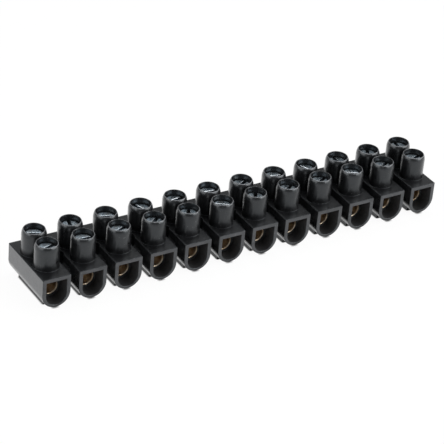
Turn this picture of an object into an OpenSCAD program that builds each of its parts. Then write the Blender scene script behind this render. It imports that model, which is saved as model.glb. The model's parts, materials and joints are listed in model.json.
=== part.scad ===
// Twelve-pole screw terminal strip: one moulding, a brass barrel in each pole and two clamping screws per barrel.
// X runs along the strip, Y from front to rear and Z up. The origin is under the middle, on the resting surface.

/* [Strip] */
// Number of poles
poles = 12; // [2:1:12]
// Distance from one pole to the next
pitch = 10; // [9.4:0.1:12]
// Depth from the front wire mouths to the rear ones
strip_depth = 19; // [18:0.1:22]

/* [Pole] */
// Width of a pole
pole_w = 7.7; // [7.4:0.1:8.6]
// Height of a pole's flat top above the surface that the strip rests on
body_h = 8.9; // [8.4:0.1:11]
// Rounding along the pole's top edges
edge_r = 0.25; // [0.1:0.05:0.4]
// Height of the wire bore's axis
axis_h = 4; // [3.8:0.05:4.4]
// Width of a wire mouth
mouth_w = 5.6; // [5.3:0.1:6.2]
// How far the round of a wire mouth lies below the wire bore
mouth_drop = 0.15; // [0:0.05:0.25]
// Thickness of the wall above a wire mouth
mouth_roof = 1.1; // [0.8:0.05:1.6]

/* [Standing pads] */
// Height of a pole's round underside above the surface that the strip rests on
pad_h = 0.35; // [0.2:0.05:0.5]
// Width of the pad under a pole
pad_w = 4.5; // [3.5:0.1:5]
// Length of the pad under a pole
pad_len = 13.6; // [10:0.1:16]

/* [Screw towers] */
// Distance between the front and the rear row of towers
tower_spacing = 7; // [6.9:0.1:8]
// Outside diameter of a tower
tower_d = 6.4; // [6.1:0.1:6.7]
// Height of a tower above the pole's top
tower_h = 6.7; // [5.5:0.1:9]
// Diameter of the well that guides a screw head
well_d = 5.1; // [4.7:0.1:5.3]
// Depth of the well's floor below the pole's top
well_drop = 0.5; // [0:0.1:1]
// Width of the flat land around the well's mouth
rim_land = 0.25; // [0.15:0.05:0.3]
// Chamfer at the well's mouth
rim_chamfer = 0.1; // [0.05:0.05:0.15]
// Fillet at the foot of a tower
foot_fillet = 0.2; // [0.1:0.05:0.5]

/* [Webs] */
// Length of a web from front to rear
web_len = 9; // [6:0.5:12]
// Thickness of a web
web_t = 2.4; // [1.5:0.1:3]
// Depth of a web's upper face below the pole's top
web_drop = 2; // [1:0.1:3]
// Diameter of a fixing hole
fixing_d = 3.2; // [2.6:0.1:3.6]

/* [Barrels] */
// Outside diameter of a barrel
barrel_d = 4.7; // [4.4:0.1:5]
// Wall of a barrel
barrel_wall = 0.5; // [0.45:0.05:0.8]
// Brass beyond the tapped holes at each end of a barrel
barrel_end = 0.6; // [0.5:0.05:1]
// How far a barrel stands out of its seat at each end
barrel_proud = 0.1; // [0.05:0.05:0.2]
// Chamfer on a barrel's outer and inner edges
barrel_chamfer = 0.15; // [0.05:0.05:0.2]
// Radial clearance of a barrel in its seat
barrel_clear = 0.05; // [0.02:0.01:0.1]

/* [Screws] */
// Diameter of a screw's thread
thread_d = 3; // [2.5:0.1:3.2]
// Radial clearance of the thread in its tapped hole
thread_clear = 0.05; // [0.02:0.01:0.1]
// Radial clearance of the thread in the passage under the well
passage_clear = 0.15; // [0.1:0.05:0.25]
// Radial clearance of a head in its well
head_clear = 0.2; // [0.1:0.05:0.3]
// Height of a head
head_h = 2.2; // [1.6:0.1:2.6]
// Rounding on a head's upper edge
head_round = 0.3; // [0.1:0.05:0.5]
// Depth of a backed-out head below the tower's rim
head_recess = 1.5; // [0.6:0.1:2]
// Width of the driver slot
slot_w = 0.8; // [0.5:0.05:1.2]
// Depth of the driver slot
slot_depth = 1.1; // [0.6:0.1:1.3]
// Chamfer on a screw's tip
tip_chamfer = 0.4; // [0.2:0.05:0.6]
// Height of a backed-out tip above the wire bore
tip_gap = 0.05; // [0:0.05:0.2]

/* [Hidden] */
$fn = 64;
// Overlap of joined shapes and overshoot of cuts
eps = 0.5;
// Turn of each driver slot, as the screws were left, counted from the left
FRONT_TURNS = [15, -6, 19, 36, 56, -34, 56, 35, 23, -30, 24, 12];
REAR_TURNS = [-25, 75, -20, -67, 5, -8, 23, -15, -63, 85, 60, 80];

pole_r = pole_w / 2;
// Centre of the round underside
round_z = pad_h + pole_r;
// Centre of a wire mouth's round
mouth_z = axis_h - mouth_drop;
tower_r = tower_d / 2;
well_r = well_d / 2;
rim_r = well_r + rim_land;
rim_z = body_h + tower_h;
// A tower's shoulder is part of a ball as wide as the tower, cut off by the rim
dome_z = rim_z - sqrt(tower_r * tower_r - rim_r * rim_r);
passage_r = thread_d / 2 + passage_clear;
tapped_r = thread_d / 2 + thread_clear;
barrel_r = barrel_d / 2;
bore_r = barrel_r - barrel_wall;
barrel_len = tower_spacing + 2 * (tapped_r + barrel_end);
seat_r = barrel_r + barrel_clear;
seat_len = barrel_len - 2 * barrel_proud;
head_r = well_r - head_clear;
head_top = rim_z - head_recess;
head_base = head_top - head_h;
tip_z = axis_h + bore_r + tip_gap;

BARRELS = [for (i = [1 : poles]) str("barrel_", two_digits(i))];
FRONT_SCREWS = [for (i = [1 : poles]) str("screw_front_", two_digits(i))];
REAR_SCREWS = [for (i = [1 : poles]) str("screw_rear_", two_digits(i))];

function two_digits(i) = str(i < 10 ? "0" : "", i);
// Place of pole i, counted from the left
function pole_x(i) = (i - (poles + 1) / 2) * pitch;

// Outline of a pole: round below, flat on top, with rounded top edges
module pole_outline() {
    translate([0, round_z])
        circle(pole_r);
    translate([-pole_r, round_z])
        square([pole_w, body_h - round_z - edge_r]);
    translate([edge_r - pole_r, round_z])
        square([pole_w - 2 * edge_r, body_h - round_z]);
    for (side = [-1, 1])
        translate([side * (pole_r - edge_r), body_h - edge_r])
            circle(edge_r);
}

// Outline of a wire mouth: round below and flat on top
module mouth_outline() {
    translate([0, mouth_z])
        circle(mouth_w / 2);
    translate([-mouth_w / 2, mouth_z])
        square([mouth_w, body_h - mouth_roof - mouth_z]);
}

// An outline in X and Z, made as long as len along Y about the middle
module along_depth(len) {
    rotate([90, 0, 0])
        linear_extrude(len, center = true)
            children();
}

// A tower with a domed shoulder and a fillet at its foot, before its well is cut
module tower() {
    rotate_extrude() {
        translate([0, body_h - eps])
            square([tower_r, dome_z - body_h + eps]);
        intersection() {
            translate([0, dome_z])
                circle(tower_r);
            translate([0, dome_z - eps])
                square([tower_r, rim_z - dome_z + eps]);
        }
        difference() {
            translate([0, body_h - eps])
                square([tower_r + foot_fillet, foot_fillet + eps]);
            translate([tower_r + foot_fillet, body_h + foot_fillet])
                circle(foot_fillet);
        }
    }
}

// The hollow of a tower: the well for the head, its chamfered mouth and the passage for the thread
module tower_hollow() {
    translate([0, 0, body_h - well_drop])
        cylinder(r = well_r, h = tower_h + well_drop + eps);
    translate([0, 0, rim_z - rim_chamfer])
        cylinder(r1 = well_r, r2 = well_r + rim_chamfer + eps, h = rim_chamfer + eps);
    translate([0, 0, axis_h])
        cylinder(r = passage_r, h = body_h - axis_h);
}

// One pole with its standing pad, towers, wire mouths and barrel seat
module pole() {
    difference() {
        union() {
            along_depth(strip_depth)
                pole_outline();
            translate([-pad_w / 2, -pad_len / 2, 0])
                cube([pad_w, pad_len, round_z]);
            for (row = [-1, 1])
                translate([0, row * tower_spacing / 2, 0])
                    tower();
        }
        for (row = [-1, 1])
            translate([0, row * tower_spacing / 2, 0])
                tower_hollow();
        difference() {
            along_depth(strip_depth + 2 * eps)
                mouth_outline();
            cube([2 * pitch, seat_len, 4 * body_h], center = true);
        }
        translate([0, 0, axis_h])
            rotate([90, 0, 0])
                cylinder(r = seat_r, h = seat_len + 2 * eps, center = true);
    }
}

// The web between two poles, which reaches a little into the wall of each
module web() {
    translate([0, 0, body_h - web_drop - web_t / 2])
        cube([pitch - pole_w + 2 * eps, web_len, web_t], center = true);
}

// The moulding
module housing() {
    color("#26272a")
        difference() {
            union() {
                for (i = [1 : poles])
                    translate([pole_x(i), 0, 0])
                        pole();
                for (i = [1 : poles - 1])
                    translate([pole_x(i) + pitch / 2, 0, 0])
                        web();
            }
            for (i = [1 : poles - 1])
                translate([pole_x(i) + pitch / 2, 0, -eps])
                    cylinder(d = fixing_d, h = body_h + 2 * eps);
        }
}

// The barrel of pole i
module barrel(i) {
    half = barrel_len / 2;
    color("#b08a45")
        translate([pole_x(i), 0, axis_h])
            difference() {
                rotate([90, 0, 0])
                    rotate_extrude()
                        polygon([
                            [bore_r, barrel_chamfer - half],
                            [bore_r + barrel_chamfer, -half],
                            [barrel_r - barrel_chamfer, -half],
                            [barrel_r, barrel_chamfer - half],
                            [barrel_r, half - barrel_chamfer],
                            [barrel_r - barrel_chamfer, half],
                            [bore_r + barrel_chamfer, half],
                            [bore_r, half - barrel_chamfer]
                        ]);
                for (row = [-1, 1])
                    translate([0, row * tower_spacing / 2, 0])
                        cylinder(r = tapped_r, h = barrel_r + eps);
            }
}

// The screw of pole i in the front row (-1) or the rear row (1), backed out for a wire to enter
module screw(i, row) {
    turns = row < 0 ? FRONT_TURNS : REAR_TURNS;
    turn = turns[(i - 1) % len(turns)];
    color("#c3c9d2")
        translate([pole_x(i), row * tower_spacing / 2, 0])
            difference() {
                rotate_extrude() {
                    polygon([
                        [0, tip_z],
                        [thread_d / 2 - tip_chamfer, tip_z],
                        [thread_d / 2, tip_z + tip_chamfer],
                        [thread_d / 2, head_base],
                        [head_r, head_base],
                        [head_r, head_top - head_round],
                        [head_r - head_round, head_top - head_round],
                        [head_r - head_round, head_top],
                        [0, head_top]
                    ]);
                    translate([head_r - head_round, head_top - head_round])
                        circle(head_round);
                }
                translate([0, 0, head_top])
                    rotate([0, 0, turn])
                        cube([2 * well_d, slot_w, 2 * slot_depth], center = true);
            }
}

housing();
for (i = [1 : poles]) {
    barrel(i);
    screw(i, -1);
    screw(i, 1);
}
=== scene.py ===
"""The looks of a twelve-pole screw terminal strip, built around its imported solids.

The moulding, the barrels and the screws are copies of the solids with softened edges, so each piece keeps
the size and the place of its solid. The screws get a real thread here, which the solids leave plain.
Lengths are in metres, and the grain of the finishes is counted in millimetres.
"""

import json
import logging
import math
from dataclasses import dataclass
from enum import Enum
from typing import Any, Callable, Optional, Union

import bmesh
import bpy
from mathutils import Matrix, Vector


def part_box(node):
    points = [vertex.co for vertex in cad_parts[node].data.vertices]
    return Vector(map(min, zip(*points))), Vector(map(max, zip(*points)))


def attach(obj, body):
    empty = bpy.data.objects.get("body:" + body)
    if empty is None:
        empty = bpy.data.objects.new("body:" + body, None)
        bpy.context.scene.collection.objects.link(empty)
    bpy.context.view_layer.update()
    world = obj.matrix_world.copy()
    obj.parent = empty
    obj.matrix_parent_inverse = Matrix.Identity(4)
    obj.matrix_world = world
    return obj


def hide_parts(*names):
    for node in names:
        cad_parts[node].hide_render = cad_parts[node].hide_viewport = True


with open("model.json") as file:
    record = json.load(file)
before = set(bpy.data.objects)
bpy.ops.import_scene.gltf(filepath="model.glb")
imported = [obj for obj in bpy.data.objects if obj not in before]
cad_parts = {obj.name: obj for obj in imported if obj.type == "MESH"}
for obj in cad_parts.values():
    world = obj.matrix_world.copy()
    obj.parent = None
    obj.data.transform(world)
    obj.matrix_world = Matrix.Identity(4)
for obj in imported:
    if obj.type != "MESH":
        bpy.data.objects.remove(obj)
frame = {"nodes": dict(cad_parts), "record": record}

MM = 0.001
POLE_HEIGHT = 8.9 * MM
LOG = logging.getLogger("terminal_strip")

Colour = tuple[float, float, float, float]
Operand = Union["Value", float]


class Tag(Enum):
    """A mark that a piece's faces carry for its finish to read."""

    EDGE = "edge"
    RIM = "rim"
    SIDE = "side"
    INSIDE = "inside"
    DULL = "dull"
    SLOT = "slot"
    THREAD = "thread"


class Value:
    """An output of a shader node that takes part in Python arithmetic."""

    def __init__(self, sketch: "Sketch", socket: Optional[bpy.types.NodeSocket]) -> None:
        """Wraps a socket.

        Args:
            sketch: The node tree that the socket belongs to.
            socket: The output socket, or None for a node at the end of the tree.
        """
        self.sketch = sketch
        self.socket = socket

    def math(self, operation: str, *others: Operand) -> "Value":
        """Adds a Math node whose first input is this value.

        Args:
            operation: The node's operation.
            others: Its further inputs in order.

        Returns:
            The node's result.
        """
        return self.sketch.math(operation, self, *others)

    def __add__(self, other: Operand) -> "Value":
        """self + other."""
        return self.math("ADD", other)

    def __radd__(self, other: Operand) -> "Value":
        """other + self."""
        return self.math("ADD", other)

    def __sub__(self, other: Operand) -> "Value":
        """self - other."""
        return self.math("SUBTRACT", other)

    def __rsub__(self, other: Operand) -> "Value":
        """other - self."""
        return self.sketch.math("SUBTRACT", other, self)

    def __mul__(self, other: Operand) -> "Value":
        """self * other."""
        return self.math("MULTIPLY", other)

    def __rmul__(self, other: Operand) -> "Value":
        """other * self."""
        return self.math("MULTIPLY", other)

    def __truediv__(self, other: Operand) -> "Value":
        """self / other."""
        return self.math("DIVIDE", other)

    def __rtruediv__(self, other: Operand) -> "Value":
        """other / self."""
        return self.sketch.math("DIVIDE", other, self)

    def __pow__(self, other: Operand) -> "Value":
        """self ** other."""
        return self.math("POWER", other)

    def __rpow__(self, other: Operand) -> "Value":
        """other ** self."""
        return self.sketch.math("POWER", other, self)

    def __abs__(self) -> "Value":
        """The size of self without its sign."""
        return self.math("ABSOLUTE")

    def output(self, which: Union[int, str]) -> "Value":
        """Another output of the same node."""
        return Value(self.sketch, self.socket.node.outputs[which])

    def step(self, low: float, high: float) -> "Value":
        """A smooth step.

        Args:
            low: The value that gives 0.
            high: The value that gives 1.

        Returns:
            The step, held between 0 and 1.
        """
        return self.sketch.node(
            "ShaderNodeMapRange",
            {"interpolation_type": "SMOOTHSTEP"},
            {"Value": self, "From Min": low, "From Max": high},
        )


@dataclass(frozen=True)
class Blotches:
    """A soft noise: its blotches in a millimetre, its finer layers and its distortion."""

    per_mm: float
    layers: float = 2.0
    warp: float = 0.0


class Sketch:
    """The node tree of one material or of the world."""

    def __init__(self, tree: bpy.types.NodeTree) -> None:
        """Empties a node tree and takes it over.

        Args:
            tree: The node tree.
        """
        self.tree = tree
        tree.nodes.clear()

    def node(
        self,
        kind: str,
        settings: Optional[dict[str, Any]] = None,
        inputs: Optional[dict[Union[int, str], Any]] = None,
        output: Union[int, str] = 0,
    ) -> Value:
        """Adds a node of any type.

        Args:
            kind: The node's type.
            settings: Its properties, set before its sockets.
            inputs: The value or the link of each socket, by name or number.
            output: The output to return.

        Returns:
            That output.
        """
        made = self.tree.nodes.new(kind)
        for name, setting in (settings or {}).items():
            setattr(made, name, setting)
        for name, given in (inputs or {}).items():
            if isinstance(given, Value):
                self.tree.links.new(given.socket, made.inputs[name])
            else:
                made.inputs[name].default_value = given
        return Value(self, made.outputs[output] if made.outputs else None)

    def math(self, operation: str, *operands: Operand) -> Value:
        """Adds a Math node.

        Args:
            operation: The node's operation.
            operands: Its inputs in order.

        Returns:
            The node's result.
        """
        return self.node("ShaderNodeMath", {"operation": operation}, dict(enumerate(operands)))

    def tag(self, tag: Tag) -> Value:
        """The strength of a mark on the piece's faces, from 0 to 1."""
        return self.node("ShaderNodeAttribute", {"attribute_name": tag.value}, output="Fac")

    def millimetres(self) -> Value:
        """The place on the piece, in millimetres of the strip's own frame."""
        place = self.node("ShaderNodeTexCoord", output="Object")
        return self.node("ShaderNodeVectorMath", {"operation": "SCALE"}, {0: place, "Scale": 1 / MM})

    def axes(self, vector: Value) -> tuple[Value, Value, Value]:
        """The X, Y and Z of a vector."""
        x = self.node("ShaderNodeSeparateXYZ", inputs={0: vector})
        return x, x.output(1), x.output(2)

    def vector(self, x: Operand, y: Operand, z: Operand) -> Value:
        """A vector from its X, Y and Z."""
        return self.node("ShaderNodeCombineXYZ", inputs={0: x, 1: y, 2: z})

    def noise(self, place: Value, kind: Blotches) -> Value:
        """Soft noise.

        Args:
            place: Where it is read, in millimetres.
            kind: What it is like.

        Returns:
            The noise, around 0.5.
        """
        inputs = {"Vector": place, "Scale": kind.per_mm, "Detail": kind.layers, "Distortion": kind.warp}
        return self.node("ShaderNodeTexNoise", inputs=inputs)

    def blend(self, share: Operand, first: Any, second: Any) -> Value:
        """Mixes two colours.

        Args:
            share: How much of the second colour there is, from 0 to 1.
            first: The first colour.
            second: The second colour.

        Returns:
            The mixed colour.
        """
        return self.node("ShaderNodeMix", {"data_type": "RGBA"}, {0: share, 6: first, 7: second}, output=2)

    def bump(self, height: Value, depth: float, under: Optional[Value] = None) -> Value:
        """Turns a height into a normal.

        Args:
            height: The height, in shares of the depth.
            depth: The depth in metres.
            under: The normal that it lies on.

        Returns:
            The normal.
        """
        inputs: dict[Union[int, str], Any] = {"Strength": 1.0, "Distance": depth, "Height": height}
        if under is not None:
            inputs["Normal"] = under
        return self.node("ShaderNodeBump", inputs=inputs)


@dataclass(frozen=True)
class Grid:
    """Where the poles and their screws stand, in millimetres."""

    pitch: float
    row: float
    axis_height: float

    @classmethod
    def measured(cls) -> "Grid":
        """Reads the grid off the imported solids.

        Returns:
            The grid.
        """
        barrel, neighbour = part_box("barrel_01"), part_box("barrel_02")
        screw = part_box("screw_rear_01")
        return cls(
            pitch=(neighbour[0].x - barrel[0].x) / MM,
            row=(screw[0].y + screw[1].y) / 2 / MM,
            axis_height=(barrel[0].z + barrel[1].z) / 2 / MM,
        )

    def across(self, x: Value) -> Value:
        """The distance from the middle plane of the nearest pole."""
        return (x / self.pitch).math("FRACT") * self.pitch - self.pitch / 2


class Finish:
    """A surface finish, which becomes one material."""

    name: str

    def surface(self, sketch: Sketch) -> Value:
        """Draws the finish.

        Args:
            sketch: The material's node tree.

        Returns:
            The shader.
        """
        raise NotImplementedError

    def material(self) -> bpy.types.Material:
        """Makes the material.

        Returns:
            The material.
        """
        material = bpy.data.materials.new(self.name)
        material.use_nodes = True
        sketch = Sketch(material.node_tree)
        sketch.node("ShaderNodeOutputMaterial", inputs={"Surface": self.surface(sketch)})
        return material


@dataclass(frozen=True)
class MouldedPlastic(Finish):
    """Black moulded plastic: satin and finely grained, with painted sheen on its sides, rims with wear and
    a painted highlight, and dull hollows.

    A painted shade without gloss lies on the foot of each tower, just above the pole's top. Its heights
    are in millimetres.
    """

    name: str = "moulded_black_plastic"
    black: Colour = (0.0065, 0.0067, 0.0073, 1)
    greyed: Colour = (0.0105, 0.0108, 0.0117, 1)
    # painted sheen: a lighter colour for the ends of the strip and the faces round the wire mouths,
    # standing in for the light they reflect
    painted_sheen: Colour = (0.0370, 0.0370, 0.0395, 1)
    # the colour of scuffed edges, and of the rims, which carry wear and a painted highlight
    worn_and_highlit: Colour = (0.150, 0.155, 0.165, 1)
    dust: Colour = (0.110, 0.110, 0.115, 1)
    hollow: Colour = (0.0300, 0.0300, 0.0310, 1)
    gloss_tint: Colour = (0.84, 0.93, 1.0, 1)
    ior: float = 1.42
    roughness: float = 0.30
    hollow_roughness: float = 0.20
    dull_roughness: float = 0.30
    flow_roughness: float = 0.14
    grain_roughness: float = 0.05
    skin_ior: float = 1.30
    skin_roughness: float = 0.22
    flow: Blotches = Blotches(0.7, 4, 0.6)
    flow_stretch: tuple[float, float] = (0.4, 0.6)
    cloud: Blotches = Blotches(0.9, 3)
    cloud_depth: float = 0.012 * MM
    grain: Blotches = Blotches(16)
    grain_depth: float = 0.0016 * MM
    scuffs: Blotches = Blotches(2.5, 4)
    specks: Blotches = Blotches(2.6, 1)
    glossy_patches: Blotches = Blotches(1.7, 3)
    patch_gloss: float = 0.55
    edge_wear: float = 0.14
    rim_wear_and_highlight: float = 0.35
    side_sheen: float = 0.4
    speck_share: float = 0.5
    foot_height: float = POLE_HEIGHT / MM
    # painted shade at each tower's foot: where it starts and fades, how strong and how rough it is
    foot_shade_start: tuple[float, float] = (0.02, 0.08)
    foot_shade_fade: tuple[float, float] = (0.6, 2.0)
    foot_shade_share: float = 0.75
    foot_shade_roughness: float = 0.9

    def surface(self, sketch: Sketch) -> Value:
        """Draws the finish.

        Args:
            sketch: The material's node tree.

        Returns:
            The shader.
        """
        place = sketch.millimetres()
        x, y, z = sketch.axes(place)
        inside = sketch.tag(Tag.INSIDE)
        patches = sketch.noise(place, self.glossy_patches).step(0.5, 0.62)
        dull = sketch.tag(Tag.DULL) * (1 - patches * self.patch_gloss)
        flow_x, flow_z = self.flow_stretch
        flow = sketch.noise(sketch.vector(x * flow_x, y, z * flow_z), self.flow)
        grain = sketch.noise(place, self.grain)
        scuffs = sketch.noise(place, self.scuffs)
        specks = sketch.noise(place, self.specks).step(0.70, 0.78)
        edge = sketch.tag(Tag.EDGE) * (scuffs.step(0.48, 0.72) * self.edge_wear)
        # rims: an even painted highlight all round, with scuffed wear on top of it
        rim = sketch.tag(Tag.RIM) * (self.rim_wear_and_highlight + scuffs.step(0.35, 0.65) * (1 - self.rim_wear_and_highlight))
        # painted sheen on the ends and round the wire mouths, varied by the flow
        side = sketch.tag(Tag.SIDE) * (self.side_sheen + flow.step(0.3, 0.7) * (1 - self.side_sheen))
        colour = sketch.blend(flow.step(0.35, 0.7), self.black, self.greyed)
        colour = sketch.blend(side, colour, self.painted_sheen)
        colour = sketch.blend(specks * self.speck_share, colour, self.dust)
        colour = sketch.blend(edge.math("MAXIMUM", rim), colour, self.worn_and_highlit)
        colour = sketch.blend(inside, colour, self.hollow)
        roughness = self.roughness + (flow - 0.5) * self.flow_roughness
        roughness = roughness + (grain - 0.5) * self.grain_roughness
        normal = sketch.bump(sketch.noise(place, self.cloud), self.cloud_depth)
        normal = sketch.bump(grain, self.grain_depth, normal)
        # painted shade: just above the pole's top, the foot of each tower loses its gloss and goes dark
        above = z - self.foot_height
        foot_shade = above.step(*self.foot_shade_start) * (1 - above.step(*self.foot_shade_fade)) * self.foot_shade_share
        shaded_foot = sketch.node(
            "ShaderNodeBsdfPrincipled",
            inputs={
                "Base Color": colour,
                "Roughness": self.foot_shade_roughness,
                "Specular IOR Level": 0.0,
                "Normal": normal,
            },
        )
        clean = sketch.node(
            "ShaderNodeBsdfPrincipled",
            inputs={
                "Base Color": colour,
                "Roughness": roughness + inside * self.hollow_roughness + dull * self.dull_roughness,
                "IOR": self.ior,
                "Specular Tint": self.gloss_tint,
                "Coat Weight": 1 - inside.math("MAXIMUM", dull),
                "Coat Roughness": self.skin_roughness,
                "Coat IOR": self.skin_ior,
                "Normal": normal,
            },
        )
        return sketch.node("ShaderNodeMixShader", inputs={0: foot_shade, 1: clean, 2: shaded_foot})


@dataclass(frozen=True)
class TurnedBrass(Finish):
    """Turned brass with fine tool marks around the bore, browned by tarnish."""

    grid: Grid
    name: str = "turned_brass"
    bright: Colour = (0.58, 0.49, 0.38, 1)
    brown: Colour = (0.46, 0.33, 0.20, 1)
    roughness: float = 0.28
    tarnish_roughness: float = 0.2
    fine_roughness: float = 0.15
    tarnish: Blotches = Blotches(0.55, 5, 0.4)
    edge_polish: float = 0.2
    mark_radians_per_mm: float = 28.0
    waver: Blotches = Blotches(1.2)
    waver_radians: float = 1.5
    mark_share: float = 0.5
    mark_depth: float = 0.0012 * MM
    fine: Blotches = Blotches(1.0, 3)
    fine_per_mm: float = 9.0

    def surface(self, sketch: Sketch) -> Value:
        """Draws the finish.

        Args:
            sketch: The material's node tree.

        Returns:
            The shader.
        """
        place = sketch.millimetres()
        x, y, z = sketch.axes(place)
        side = self.grid.across(x)
        height = z - self.grid.axis_height
        radius = (side * side + height * height) ** 0.5
        tarnish = sketch.noise(place, self.tarnish).step(0.36, 0.68)
        waver = sketch.noise(place, self.waver) * self.waver_radians
        marks = ((radius + y) * self.mark_radians_per_mm + waver).math("SINE")
        fine = sketch.noise(sketch.vector(radius * self.fine_per_mm, y * self.fine_per_mm, 0.0), self.fine)
        polish = sketch.tag(Tag.EDGE) * self.edge_polish
        colour = sketch.blend(tarnish * (1 - polish), self.bright, self.brown)
        roughness = self.roughness + tarnish * self.tarnish_roughness + (fine - 0.5) * self.fine_roughness
        normal = sketch.bump(marks * self.mark_share + fine, self.mark_depth)
        return sketch.node(
            "ShaderNodeBsdfPrincipled",
            inputs={"Base Color": colour, "Roughness": roughness, "Metallic": 1.0, "Normal": normal},
        )


@dataclass(frozen=True)
class PlatedSteel(Finish):
    """Bright zinc plating: bluish and faintly stained, with turning marks, and a slot and a thread
    darkened by oxide and painted shade.

    It is painted best lit at one place along the strip, and far aside of it it gets painted shade, partly
    through its patina, and dimmer edges. Both are in millimetres.
    """

    grid: Grid
    name: str = "zinc_plated_steel"
    bluish: Colour = (0.56, 0.68, 0.77, 1)
    straw: Colour = (0.60, 0.61, 0.59, 1)
    # the colour of patina and oxide, also used for painted shade
    dull: Colour = (0.17, 0.20, 0.23, 1)
    bared: Colour = (0.76, 0.80, 0.84, 1)
    # the place along the strip that is painted best lit, and how far that painted light reaches
    best_lit_place: float = 6.0
    lit_reach: float = 26.0
    roughness: float = 0.19
    worn_roughness: float = 0.12
    hidden_roughness: float = 0.16
    fine_roughness: float = 0.16
    stain: Blotches = Blotches(0.8, 3, 0.5)
    stain_share: float = 0.7
    patina: Blotches = Blotches(1.5, 4, 0.6)
    patina_share: float = 0.55
    # painted shade far aside of the best lit place: more patina, a darker colour and dimmer edges there
    aside_shade_in_patina: float = 0.15
    aside_painted_shade: float = 0.3
    # how dark the slot and the thread are: oxide and painted shade
    hidden_oxide_and_shade: float = 0.6
    edge_shine: float = 0.8
    aside_edge_loss: float = 0.6
    dents: Blotches = Blotches(0.5)
    dent_depth: float = 0.045 * MM
    fine: Blotches = Blotches(1.0, 3)
    fine_per_mm: float = 7.0
    rings_per_mm: float = 9.0
    ring_share: float = 0.35
    ring_depth: float = 0.0025 * MM

    def surface(self, sketch: Sketch) -> Value:
        """Draws the finish.

        Args:
            sketch: The material's node tree.

        Returns:
            The shader.
        """
        place = sketch.millimetres()
        x, y, z = sketch.axes(place)
        side = self.grid.across(x)
        depth = abs(y) - self.grid.row
        radius = (side * side + depth * depth) ** 0.5
        stain = sketch.noise(place, self.stain).step(0.4, 0.68)
        patina = sketch.noise(place, self.patina).step(0.46, 0.58)
        # painted shade: screws far from the best lit place are darker, with more patina and dimmer edges
        aside = abs(x - self.best_lit_place).step(self.lit_reach, 2 * self.lit_reach)
        fine = sketch.noise(sketch.vector(radius * self.fine_per_mm, z * self.fine_per_mm, 0.0), self.fine)
        rings = (radius * (self.rings_per_mm * 2 * math.pi)).math("SINE")
        # slot and thread: darkened by oxide and by painted shade
        hidden = sketch.tag(Tag.SLOT).math("MAXIMUM", sketch.tag(Tag.THREAD))
        patina_oxide_and_shade = patina * (self.patina_share + aside * self.aside_shade_in_patina) + aside * self.aside_painted_shade
        patina_oxide_and_shade = (hidden * self.hidden_oxide_and_shade).math("MAXIMUM", patina_oxide_and_shade)
        shine = sketch.tag(Tag.EDGE) * (self.edge_shine - aside * self.aside_edge_loss)
        colour = sketch.blend(stain * self.stain_share, self.bluish, self.straw)
        colour = sketch.blend(patina_oxide_and_shade, colour, self.dull)
        colour = sketch.blend(shine, colour, self.bared)
        roughness = self.roughness + (patina + aside) * self.worn_roughness
        roughness = roughness + hidden * self.hidden_roughness + (fine - 0.5) * self.fine_roughness
        normal = sketch.bump(sketch.noise(place, self.dents), self.dent_depth)
        normal = sketch.bump(rings * self.ring_share + fine, self.ring_depth, normal)
        return sketch.node(
            "ShaderNodeBsdfPrincipled",
            inputs={"Base Color": colour, "Roughness": roughness, "Metallic": 1.0, "Normal": normal},
        )


@dataclass(frozen=True)
class PaleFloor(Finish):
    """A white table, also white in reflections, with the strip's soft shadow and a dark line under it.

    Where it is less open than the two given shares, it shows black to the eye or in reflections.
    """

    name: str = "pale_floor"
    white: Colour = (0.90, 0.90, 0.90, 1)
    glow: float = 0.95
    contact_reach: float = 0.55 * MM
    contact_black: float = 0.3
    mirrored_reach: float = 3.3 * MM
    mirrored_black: float = 0.8
    mirrored_lean: float = math.radians(72)

    def surface(self, sketch: Sketch) -> Value:
        """Draws the finish.

        Args:
            sketch: The material's node tree.

        Returns:
            The shader.
        """
        path = sketch.node("ShaderNodeLightPath", output="Is Camera Ray")
        seen = path.math("MAXIMUM", path.output("Is Glossy Ray"))
        seen = seen.math("MAXIMUM", path.output("Is Transmission Ray"))
        contact = self.openness(sketch, self.contact_reach, 0.0)
        contact = contact.step(self.contact_black, 1.0)
        mirrored = self.openness(sketch, self.mirrored_reach, self.mirrored_lean)
        mirrored = mirrored.step(self.mirrored_black, 1.0)
        open_sky = mirrored + path * (contact - mirrored)
        lit = sketch.node("ShaderNodeBsdfDiffuse", inputs={"Color": self.white})
        glowing = sketch.node("ShaderNodeEmission", inputs={"Color": open_sky, "Strength": 1.0})
        return sketch.node("ShaderNodeMixShader", inputs={0: seen * self.glow, 1: lit, 2: glowing})

    def openness(self, sketch: Sketch, reach: float, lean: float) -> Value:
        """How open the table is, from 0 to 1.

        Args:
            sketch: The material's node tree.
            reach: How near a thing has to be to count.
            lean: How far the light leans over to the left.

        Returns:
            The share of the light that arrives.
        """
        toward = sketch.vector(-math.sin(lean), 0.0, math.cos(lean))
        return sketch.node(
            "ShaderNodeAmbientOcclusion", inputs={"Distance": reach, "Normal": toward}, output="AO"
        )


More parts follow.
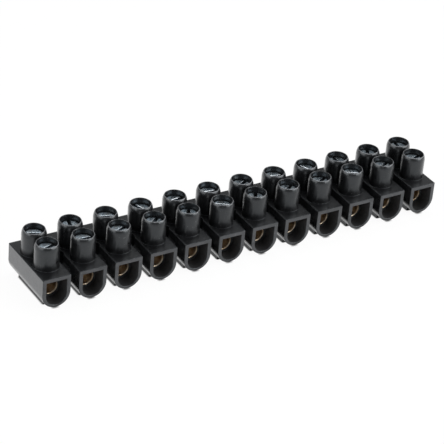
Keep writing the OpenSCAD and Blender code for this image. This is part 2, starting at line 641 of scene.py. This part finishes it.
@dataclass
class SoftenedPiece:
    """A piece of the strip: a merged copy of its solid with rounded edges and smooth shading."""

    node: str
    material: bpy.types.Material
    edge_radius: float = 0.1 * MM
    edge_segments: int = 2
    edge_angle: float = math.radians(35)
    crease_angle: float = math.radians(40)
    weld: float = 0.001 * MM

    @property
    def name(self) -> str:
        """The finished piece's name."""
        return f"{self.node}_finished"

    def build(self) -> bpy.types.Object:
        """Models the piece and puts it in its solid's place.

        Returns:
            The piece.
        """
        bm = bmesh.new()
        bm.from_mesh(frame["nodes"][self.node].data)
        bmesh.ops.remove_doubles(bm, verts=bm.verts[:], dist=self.weld)
        for tag in Tag:
            bm.faces.layers.float.new(tag.value)
        self.shape(bm)
        self.soften(bm)
        self.mark(bm)
        return self.place(bm)

    def shape(self, bm: bmesh.types.BMesh) -> None:
        """Adds what the solid leaves out. A plain piece adds nothing."""

    def softens(self, edge: bmesh.types.BMEdge) -> bool:
        """Whether an edge is rounded."""
        return len(edge.link_faces) == 2 and edge.is_convex and edge.calc_face_angle() > self.edge_angle

    def soften(self, bm: bmesh.types.BMesh) -> None:
        """Rounds the sharp outer edges and marks the roundings.

        Args:
            bm: The piece's mesh.
        """
        edges = [edge for edge in bm.edges if self.softens(edge)]
        self.round_off(bm, edges, self.edge_radius, Tag.EDGE)

    def round_off(
        self, bm: bmesh.types.BMesh, edges: list[bmesh.types.BMEdge], radius: float, tag: Tag
    ) -> None:
        """Rounds edges and marks the roundings.

        Args:
            bm: The piece's mesh.
            edges: The edges.
            radius: How far the rounding reaches to each side.
            tag: The mark.
        """
        rounded = bmesh.ops.bevel(
            bm,
            geom=edges,
            offset=radius,
            offset_type="OFFSET",
            affect="EDGES",
            segments=self.edge_segments,
            profile=0.5,
            clamp_overlap=False,
            material=-1,
        )
        layer = bm.faces.layers.float[tag.value]
        for face in rounded["faces"]:
            face[layer] = 1.0

    def mark(self, bm: bmesh.types.BMesh) -> None:
        """Marks the faces that the finish treats apart. A plain piece has none."""

    def tag_faces(
        self,
        bm: bmesh.types.BMesh,
        tag: Tag,
        chosen: Callable[[bmesh.types.BMFace], bool],
        strength: float = 1.0,
    ) -> None:
        """Marks the chosen faces.

        Args:
            bm: The piece's mesh.
            tag: The mark.
            chosen: Tells whether a face gets it.
            strength: How strong the mark is, from 0 to 1.
        """
        layer = bm.faces.layers.float[tag.value]
        for face in bm.faces:
            if chosen(face):
                face[layer] = strength

    def place(self, bm: bmesh.types.BMesh) -> bpy.types.Object:
        """Makes the mesh an object that stands for the solid and rides on its body.

        Args:
            bm: The piece's mesh.

        Returns:
            The piece.
        """
        mesh = bpy.data.meshes.new(self.name)
        bm.to_mesh(mesh)
        bm.free()
        for stale in ("custom_normal", "sharp_face"):
            if stale in mesh.attributes:
                mesh.attributes.remove(mesh.attributes[stale])
        mesh.shade_smooth()
        mesh.set_sharp_from_angle(angle=self.crease_angle)
        mesh.materials.clear()
        mesh.materials.append(self.material)
        piece = bpy.data.objects.new(self.name, mesh)
        bpy.context.scene.collection.objects.link(piece)
        even = piece.modifiers.new("even_shading", "WEIGHTED_NORMAL")
        even.keep_sharp = True
        bodies = frame["record"]["behaviour"]["bodies"]
        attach(piece, next(body for body, nodes in bodies.items() if self.node in nodes))
        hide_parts(self.node)
        LOG.info("%s: %d faces", self.name, len(mesh.polygons))
        return piece


@dataclass
class Moulding(SoftenedPiece):
    """The moulding with its sides that carry a painted sheen, its hollows, and the rims and fillets of its
    towers.
    """

    edge_angle: float = math.radians(50)
    edge_segments: int = 3
    rim_radius: float = 0.13 * MM
    body_height: float = POLE_HEIGHT
    top_rounding: float = 0.25 * MM
    well_drop: float = 0.5 * MM
    well_dullness: float = 0.3
    fillet: float = 0.2 * MM
    fillet_start: float = 0.02
    fillet_dullness: float = 0.4
    squareness: float = 0.999
    slope: float = 0.1

    def __post_init__(self) -> None:
        """Reads the places of the poles, the bore and the towers off the solids."""
        nodes = [part["node"] for part in frame["record"]["subparts"]]
        barrels = [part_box(node) for node in nodes if node.startswith("barrel")]
        self.pole_places = [sum(corner.x for corner in box) / 2 for box in barrels]
        self.axis_height = sum(corner.z for corner in barrels[0]) / 2
        self.barrel_reach = barrels[0][1].y
        self.row = sum(corner.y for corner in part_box("screw_rear_01")) / 2
        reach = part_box(self.node)[1] - Vector((1, 1, 1)) * self.rim_radius
        self.end_reach, self.front_reach, self.rim_height = reach

    def soften(self, bm: bmesh.types.BMesh) -> None:
        """Rounds the rims of the towers, then the other sharp edges.

        Args:
            bm: The moulding's mesh.
        """
        sharp = [edge for edge in bm.edges if self.softens(edge)]
        rims = [edge for edge in sharp if min(vert.co.z for vert in edge.verts) > self.rim_height]
        self.round_off(bm, rims, self.rim_radius, Tag.RIM)
        super().soften(bm)

    def mark(self, bm: bmesh.types.BMesh) -> None:
        """Marks the sides that get a painted sheen, the hollows, and what is dull on the towers and on the
        poles' tops.

        Args:
            bm: The moulding's mesh.
        """
        self.tag_faces(bm, Tag.SIDE, self.is_side)
        self.tag_faces(bm, Tag.INSIDE, self.is_inside)
        self.tag_faces(bm, Tag.DULL, self.is_in_well, self.well_dullness)
        self.tag_faces(bm, Tag.DULL, self.is_fillet, self.fillet_dullness)
        self.tag_faces(bm, Tag.DULL, self.is_top_edge)

    def pole_place(self, place: Vector) -> float:
        """The X of the pole that a place belongs to."""
        return min(self.pole_places, key=lambda pole: abs(pole - place.x))

    def is_side(self, face: bmesh.types.BMFace) -> bool:
        """Tells whether a face is on an end of the strip or round a wire mouth.

        Args:
            face: The face.

        Returns:
            Whether it is.
        """
        centre = face.calc_center_median()
        if abs(face.normal.y) > self.squareness:
            return abs(centre.y) > self.front_reach
        return abs(face.normal.x) > self.squareness and abs(centre.x) > self.end_reach

    def is_inside(self, face: bmesh.types.BMFace) -> bool:
        """Tells whether a face lies in a wire mouth or a barrel's seat.

        Args:
            face: The face.

        Returns:
            Whether it does.
        """
        centre = face.calc_center_median()
        if centre.z > self.body_height - self.well_drop or abs(centre.y) > self.front_reach:
            return False
        if abs(face.normal.y) > self.squareness:
            return abs(centre.y) < self.barrel_reach
        axis = Vector((self.pole_place(centre), centre.y, self.axis_height))
        return (centre - axis).dot(face.normal) < 0

    def is_in_well(self, face: bmesh.types.BMFace) -> bool:
        """Tells whether a face lies in the well of a tower.

        Args:
            face: The face.

        Returns:
            Whether it does.
        """
        centre = face.calc_center_median()
        if centre.z < self.body_height - self.well_drop:
            return False
        axis = Vector((self.pole_place(centre), math.copysign(self.row, centre.y)))
        return (centre.to_2d() - axis).dot(face.normal.to_2d()) < -self.well_drop

    def is_top_edge(self, face: bmesh.types.BMFace) -> bool:
        """Whether a face is on the rounding around a pole's top."""
        sloped = self.slope < face.normal.z < self.squareness
        return sloped and 0 < self.body_height - face.calc_center_median().z < self.top_rounding

    def is_fillet(self, face: bmesh.types.BMFace) -> bool:
        """Whether a face is on the fillet at the foot of a tower."""
        return self.fillet_start < (face.calc_center_median().z - self.body_height) / self.fillet < 1


@dataclass
class Barrel(SoftenedPiece):
    """A brass barrel."""

    edge_radius: float = 0.04 * MM


@dataclass(frozen=True)
class Thread:
    """A metric thread about the Z axis, one turn above the other."""

    pitch: float = 0.5 * MM
    crest: float = 1.5 * MM
    depth: float = 0.3 * MM
    sides: int = 42
    root_share: float = 0.25
    crest_share: float = 0.125
    weld: float = 0.0005 * MM

    def profile(self) -> list[tuple[float, float]]:
        """The outline of one turn.

        Returns:
            Pairs of radius and height.
        """
        flank = (1 - self.root_share - self.crest_share) / 2
        root = self.crest - self.depth
        heights = [0.0, self.root_share, self.root_share + flank, 1 - flank, 1.0]
        radii = [root, root, self.crest, self.crest, root]
        return [(radius, height * self.pitch) for radius, height in zip(radii, heights)]

    def mesh(self, length: float) -> bpy.types.Mesh:
        """Winds a thread that is cut square at both ends.

        Args:
            length: Its length.

        Returns:
            A mesh that is open at both ends and starts at height 0.
        """
        bm = bmesh.new()
        points = [bm.verts.new((radius, 0, height - self.pitch)) for radius, height in self.profile()]
        lines = [bm.edges.new(pair) for pair in zip(points, points[1:])]
        turns = math.ceil(length / self.pitch) + 1
        bmesh.ops.spin(
            bm,
            geom=points + lines,
            cent=(0, 0, 0),
            axis=(0, 0, 1),
            dvec=(0, 0, self.pitch / self.sides),
            angle=2 * math.pi * turns,
            steps=self.sides * turns,
        )
        bmesh.ops.remove_doubles(bm, verts=bm.verts[:], dist=self.weld)
        for height, outward in ((0.0, -1), (length, 1)):
            bmesh.ops.bisect_plane(
                bm,
                geom=bm.verts[:] + bm.edges[:] + bm.faces[:],
                plane_co=(0, 0, height),
                plane_no=(0, 0, outward),
                clear_outer=True,
            )
        mesh = bpy.data.meshes.new("thread")
        bm.to_mesh(mesh)
        bm.free()
        return mesh


@dataclass
class Screw(SoftenedPiece):
    """A clamping screw: its solid's head and tip, with a threaded shank between them."""

    thread: Thread = Thread()
    edge_radius: float = 0.12 * MM
    edge_segments: int = 3
    head_height: float = 2.2 * MM
    neck: float = 0.35 * MM
    tip: float = 0.45 * MM
    run_out: float = 0.12 * MM
    slot_width: float = 0.8 * MM
    slot_depth: float = 1.1 * MM
    slot_beside: float = 0.6
    slot_start: float = 0.1
    slot_end: float = 1.05

    def __post_init__(self) -> None:
        """Reads the screw's axis and heights off its solid."""
        low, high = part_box(self.node)
        self.axis = Vector(((low.x + high.x) / 2, (low.y + high.y) / 2, 0))
        self.tip_height = low.z
        self.head_top = high.z
        self.head_base = high.z - self.head_height
        self.shank_low = low.z + self.tip
        self.shank_high = self.head_base - self.neck

    def shape(self, bm: bmesh.types.BMesh) -> None:
        """Swaps the plain shank for a threaded one.

        Args:
            bm: The screw's mesh.
        """
        for height in (self.shank_low, self.shank_high):
            everything = bm.verts[:] + bm.edges[:] + bm.faces[:]
            bmesh.ops.bisect_plane(bm, geom=everything, plane_co=(0, 0, height), plane_no=(0, 0, 1))
        plain = [
            face for face in bm.faces if self.shank_low < face.calc_center_median().z < self.shank_high
        ]
        bmesh.ops.delete(bm, geom=plain, context="FACES")
        shank_start = self.shank_low + self.run_out
        wound = self.thread.mesh(self.shank_high - self.run_out - shank_start)
        wound.transform(Matrix.Translation(self.axis + Vector((0, 0, shank_start))))
        solid_faces = set(bm.faces)
        bm.from_mesh(wound)
        bpy.data.meshes.remove(wound)
        middle = (self.shank_low + self.shank_high) / 2
        for below in (True, False):
            loops = [
                edge for edge in bm.edges
                if len(edge.link_faces) == 1 and (edge.verts[0].co.z < middle) == below
            ]
            bmesh.ops.bridge_loops(bm, edges=loops)
        bmesh.ops.recalc_face_normals(bm, faces=bm.faces[:])
        self.tag_faces(bm, Tag.THREAD, lambda face: face not in solid_faces)

    def softens(self, edge: bmesh.types.BMEdge) -> bool:
        """Whether an edge is rounded: only the head's are."""
        lowest = min(vert.co.z for vert in edge.verts)
        return super().softens(edge) and lowest > self.shank_high + self.neck / 2

    def mark(self, bm: bmesh.types.BMesh) -> None:
        """Marks the driver slot.

        Args:
            bm: The screw's mesh.
        """
        self.tag_faces(bm, Tag.SLOT, self.is_in_slot)

    def is_in_slot(self, face: bmesh.types.BMFace) -> bool:
        """Tells whether a face is a wall or the floor of the slot.

        Args:
            face: The face.

        Returns:
            Whether it is.
        """
        centre = face.calc_center_median()
        out = (centre - self.axis).to_2d()
        beside = abs(out.dot(face.normal.to_2d())) < self.slot_beside * self.slot_width
        low = self.head_top - self.slot_end * self.slot_depth
        high = self.head_top - self.slot_start * self.slot_depth
        return beside and low < centre.z < high


@dataclass(frozen=True)
class Lamp:
    """A soft rectangular lamp that points at the strip."""

    name: str
    place: tuple[float, float, float]
    size: tuple[float, float]
    power: float
    aim: tuple[float, float, float] = (0.0, 0.0, 0.008)

    def build(self) -> None:
        """Hangs the lamp."""
        light = bpy.data.lights.new(self.name, "AREA")
        light.shape = "RECTANGLE"
        light.size, light.size_y = self.size
        light.energy = self.power
        lamp = bpy.data.objects.new(self.name, light)
        lamp.location = self.place
        lamp.rotation_euler = (Vector(self.aim) - Vector(self.place)).to_track_quat("-Z", "Y").to_euler()
        bpy.context.scene.collection.objects.link(lamp)


@dataclass(frozen=True)
class Viewpoint:
    """Where the strip is seen from. Azimuth 0 looks along +Y and a positive one looks from the left."""

    azimuth: float = math.radians(33.65)
    elevation: float = math.radians(31.53)
    roll: float = math.radians(5.242)
    distance: float = 537.3 * MM
    aim: tuple[float, float, float] = (-2.40 * MM, -0.23 * MM, 6.42 * MM)
    lens: float = 168.19

    def build(self) -> None:
        """Sets the camera up."""
        level = math.cos(self.elevation)
        back = Vector(
            (-math.sin(self.azimuth) * level, -math.cos(self.azimuth) * level, math.sin(self.elevation))
        )
        right = Vector((math.cos(self.azimuth), -math.sin(self.azimuth), 0))
        turned = Matrix((right, back.cross(right), back)).transposed() @ Matrix.Rotation(self.roll, 3, "Z")
        camera = bpy.data.cameras.new("camera")
        camera.lens = self.lens
        holder = bpy.data.objects.new("camera", camera)
        place = Matrix.Translation(Vector(self.aim) + back * self.distance)
        holder.matrix_world = place @ turned.to_4x4()
        bpy.context.scene.collection.objects.link(holder)
        bpy.context.scene.camera = holder


@dataclass(frozen=True)
class Studio:
    """The white table, the soft lamps, the pale surroundings and the camera."""

    floor_size: float = 30.0
    floor_shift: tuple[float, float, float] = (6.0, -6.0, 0.0)
    surroundings: Colour = (1, 1, 1, 1)
    ambient: float = 0.26
    lamps: tuple[Lamp, ...] = (
        Lamp("overhead_lamp", (0.14, 0.21, 0.60), (0.50, 0.35), 2.2),
        Lamp("right_lamp", (0.30, -0.29, 0.22), (0.50, 0.34), 2.3),
        Lamp("left_lamp", (-0.42, 0.02, 0.20), (0.50, 0.34), 1.4),
    )
    viewpoint: Viewpoint = Viewpoint()

    def build(self) -> None:
        """Sets everything up around the strip."""
        bpy.context.scene.view_settings.view_transform = "Standard"
        self.viewpoint.build()
        for lamp in self.lamps:
            lamp.build()
        self.lay_floor()
        self.light_surroundings()

    def lay_floor(self) -> None:
        """Lays the table under the strip, with the seam between its two triangles far away."""
        bm = bmesh.new()
        bmesh.ops.create_grid(bm, x_segments=1, y_segments=1, size=self.floor_size / 2)
        bmesh.ops.translate(bm, vec=self.floor_shift, verts=bm.verts)
        mesh = bpy.data.meshes.new("table")
        bm.to_mesh(mesh)
        bm.free()
        mesh.materials.append(PaleFloor().material())
        floor = bpy.data.objects.new("table", mesh)
        bpy.context.scene.collection.objects.link(floor)

    def light_surroundings(self) -> None:
        """Gives the room its even light."""
        world = bpy.data.worlds.new("studio")
        world.use_nodes = True
        bpy.context.scene.world = world
        sketch = Sketch(world.node_tree)
        light = sketch.node(
            "ShaderNodeBackground", inputs={"Color": self.surroundings, "Strength": self.ambient}
        )
        sketch.node("ShaderNodeOutputWorld", inputs={"Surface": light})


def main() -> None:
    """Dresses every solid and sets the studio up."""
    logging.basicConfig(level=logging.INFO, format="%(name)s: %(message)s")
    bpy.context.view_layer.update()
    grid = Grid.measured()
    plastic = MouldedPlastic().material()
    brass = TurnedBrass(grid).material()
    plating = PlatedSteel(grid).material()
    for part in frame["record"]["subparts"]:
        node = part["node"]
        if node.startswith("barrel"):
            Barrel(node, brass).build()
        elif node.startswith("screw"):
            Screw(node, plating).build()
        else:
            Moulding(node, plastic).build()
    Studio().build()


if __name__ == "__main__":
    main()
